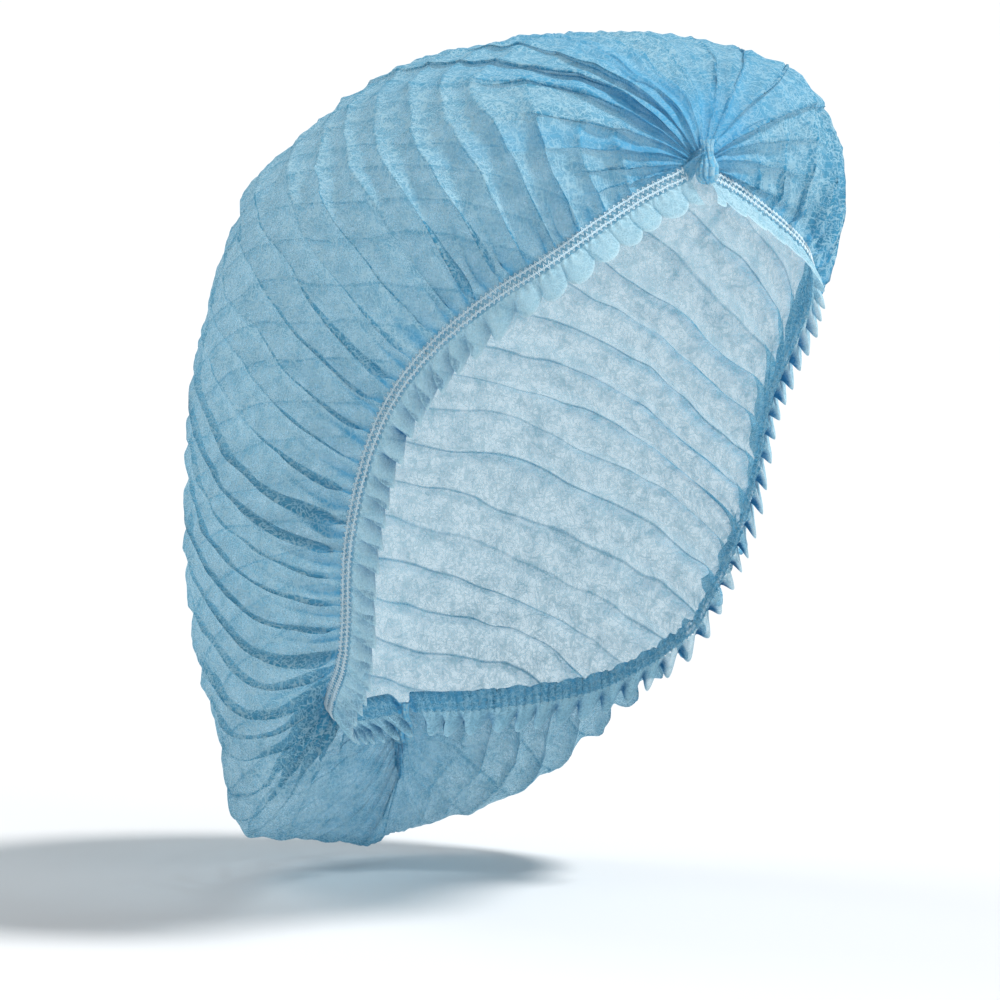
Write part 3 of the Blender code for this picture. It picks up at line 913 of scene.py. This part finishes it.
def cloth_material(name, clear, crest_blue, deep, light, base_alpha):
    """Thin nonwoven cloth: a random web of fibres, cloudy, denser where it is folded, and darker
    where painted shade is marked.
    """
    material, output, maths, place = start_material(name)
    folded_layers_and_shade = maths.make("ShaderNodeAttribute", output="Fac", attribute_name="layers_and_shade")
    # Crease lines: the crests of folds, with painted shading on one flank of each.
    crease = fold_lines(maths, "gather_phase", "gather", 40.0, 0.42)
    crease = crease + fold_lines(maths, "small_phase", "small", 10.0, 0.15) * 0.7
    crease = crease + fold_lines(maths, "pleat_phase", "pleat", 40.0, 0.30)
    crease = crease + fold_lines(maths, "fine_phase", "fine", 10.0, 0.15) * 0.6
    fibres = 0
    for turn, stretch, scale, width, strength in FIBRES:
        values = {"Vector": place, "Rotation": turn, "Scale": stretch}
        laid = maths.make("ShaderNodeMapping", values)
        fibres = ridges(laid, scale, width, 0.9) * strength + fibres
    fibres = (fibres.clamped() * (1 - folded_layers_and_shade * 0.6)).clamped()
    clouds = noise(place, 170, 2.0, 0.6).between(0.35, 0.68)
    specks = noise(place, 2600, 0.0).between(0.30, 0.75)
    alpha = clouds * 0.16 + specks * 0.05 + fibres * 0.34 + crease * 0.42 + folded_layers_and_shade * 0.42
    alpha = (alpha + base_alpha).clamped()
    # Crease lines turn to the crest colour; the folded layers and the painted shade turn to the
    # deep colour.
    blue = mix_colours(maths, (crease * 0.8).clamped(), clear, crest_blue)
    blue = mix_colours(maths, (folded_layers_and_shade * 0.8).clamped(), blue, deep)
    colour = mix_colours(maths, (fibres * 0.80).clamped(), blue, light)
    values = {"Height": specks, "Strength": 0.35, "Distance": 0.0002}
    bump = maths.make("ShaderNodeBump", values, output="Normal")
    values = {
        "Base Color": colour,
        "Roughness": 0.72,
        "Normal": bump,
        "Specular IOR Level": 0.25,
    }
    solid = maths.make("ShaderNodeBsdfPrincipled", values)
    passing = maths.make("ShaderNodeBsdfTranslucent", {"Color": colour, "Normal": bump})
    lit = maths.make("ShaderNodeMixShader", {0: PASSED_LIGHT, 1: solid, 2: passing})
    through = maths.make("ShaderNodeBsdfTransparent", {"Color": BETWEEN_FIBRES})
    whole = maths.make("ShaderNodeMixShader", {0: alpha, 1: through, 2: lit})
    material.node_tree.links.new(whole.socket, output.inputs["Surface"])
    return material


def thread_material(name):
    material, output, maths, place = start_material(name)
    thread = maths.make("ShaderNodeAttribute", output="Fac", attribute_name="thread")
    strands = noise(place, 2500, 2.0, 0.6).between(0.3, 0.7)
    shade = mix_colours(maths, strands, (0.42, 0.68, 0.83, 1), (0.68, 0.86, 0.94, 1))
    colour = mix_colours(maths, thread, shade, (0.82, 0.94, 0.99, 1))
    values = {"Height": strands, "Strength": 0.5, "Distance": 0.0001}
    bump = maths.make("ShaderNodeBump", values, output="Normal")
    values = {"Base Color": colour, "Roughness": 0.6, "Normal": bump, "Specular IOR Level": 0.3}
    solid = maths.make("ShaderNodeBsdfPrincipled", values)
    material.node_tree.links.new(solid.socket, output.inputs["Surface"])
    return material


def floor_material():
    material, output, maths, _ = start_material("pale_floor")
    values = {"Base Color": (0.86, 0.87, 0.88, 1), "Roughness": 0.9, "Specular IOR Level": 0.1}
    solid = maths.make("ShaderNodeBsdfPrincipled", values)
    material.node_tree.links.new(solid.socket, output.inputs["Surface"])
    return material


def add_floor():
    bm = bmesh.new()
    bmesh.ops.create_grid(bm, x_segments=2, y_segments=2, size=FLOOR_HALF_SIZE)
    mesh = bpy.data.meshes.new("floor")
    bm.to_mesh(mesh)
    bm.free()
    floor = add_object("floor", mesh, floor_material())
    floor.location.z = cad_box[0][2] - FLOOR_GAP


def add_camera():
    back = Vector(
        (
            math.sin(VIEW_TURN) * math.cos(VIEW_TILT),
            -math.cos(VIEW_TURN) * math.cos(VIEW_TILT),
            math.sin(VIEW_TILT),
        )
    )
    right = Vector((math.cos(VIEW_TURN), math.sin(VIEW_TURN), 0))
    up = back.cross(right)
    data = bpy.data.cameras.new("camera")
    data.sensor_width = SENSOR_WIDTH
    data.lens = PIXELS_AT_ONE_METRE * SENSOR_WIDTH / PICTURE_PIXELS
    data.clip_start, data.clip_end = 0.05, 900
    camera = bpy.data.objects.new("camera", data)
    camera.location = VIEW_TARGET + back * VIEW_DISTANCE
    middle = PICTURE_PIXELS / 2
    aside = (middle - TARGET_PIXEL[0]) / PIXELS_AT_ONE_METRE
    above = (TARGET_PIXEL[1] - middle) / PIXELS_AT_ONE_METRE
    aim = -back + right * aside + up * above
    camera.rotation_mode = "QUATERNION"
    camera.rotation_quaternion = aim.to_track_quat("-Z", "Y")
    bpy.context.scene.collection.objects.link(camera)
    bpy.context.scene.camera = camera


def add_light(name, place, strength, softness):
    data = bpy.data.lights.new(name, "SUN")
    data.energy, data.angle = strength, math.radians(softness)
    light = bpy.data.objects.new(name, data)
    light.rotation_mode = "QUATERNION"
    light.rotation_quaternion = (-Vector(place)).to_track_quat("-Z", "Y")
    bpy.context.scene.collection.objects.link(light)


def add_studio():
    world = bpy.data.worlds.new("studio")
    world.use_nodes = True
    shade = world.node_tree.nodes["Background"]
    maths = Maths(world.node_tree, None)
    seen = maths.make("ShaderNodeLightPath", output="Is Camera Ray")
    strength = seen * (BACKDROP - SKY) + SKY
    world.node_tree.links.new(strength.socket, shade.inputs["Strength"])
    shade.inputs["Color"].default_value = (0.97, 0.985, 1.0, 1)
    bpy.context.scene.world = world
    for sun in SUNS:
        add_light(*sun)
    bpy.context.scene.view_settings.view_transform = "Standard"
    bpy.context.scene.cycles.transparent_max_bounces = 12
    bpy.context.scene.cycles.max_bounces = 4
    bpy.context.scene.cycles.diffuse_bounces = 2


def main():
    crown_blue = (0.11, 0.39, 0.55, 1)
    frill_blue = (0.46, 0.76, 0.87, 1)
    knot_blue = (0.22, 0.62, 0.86, 1)
    # Crest lines of the crown's folds, and painted shade on one flank of each
    crest_blue = (0.05, 0.31, 0.50, 1)
    # Painted highlight colour for the frill's ruche crests and hem rim
    rim_highlight_blue = (0.72, 0.90, 0.96, 1)
    deep = (0.09, 0.43, 0.72, 1)
    # Painted shade colour for the frill's flute troughs and lower flanks
    shaded = (0.015, 0.15, 0.33, 1)
    # Painted shade colour for the grooves between the knot's ribs
    welded = (0.06, 0.36, 0.66, 1)
    fibre = (0.52, 0.76, 0.85, 1)
    cloth = cloth_material("cap_cloth", crown_blue, crest_blue, deep, fibre, 0.32)
    edge = cloth_material("cap_edge", frill_blue, rim_highlight_blue, shaded, fibre, 0.40)
    weld = cloth_material("cap_weld", knot_blue, crest_blue, welded, fibre, 0.90)
    thread = thread_material("cap_thread")
    crown = add_crown(Dome(), cloth)
    pieces, frills = [(crown, "crown", "nonwoven_cloth")], []
    lower = (CASING_WIDTH - ELASTIC_SPACING) / 2
    for side, label in ((-1, "right"), (1, "left")):
        frills.append(add_frill(f"{label}_frill_cloth", side, edge))
        pieces.append((frills[-1], f"{label}_frill", "nonwoven_cloth"))
        for row, above in (("lower", lower), ("upper", lower + ELASTIC_SPACING)):
            node = f"{label}_elastic_{row}"
            sewn = add_stitched_elastic(f"{node}_sewn", side, above, thread)
            pieces.append((sewn, node, "elastic_thread"))
    for node in ("front_knot", "nape_knot"):
        pieces.append((add_knot(f"{node}_ribbed", node, weld), node, "welded_cloth"))
    for piece, node, slot in pieces:
        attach(piece, "root")
        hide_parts(node)
    add_floor()
    add_camera()
    add_studio()


main()
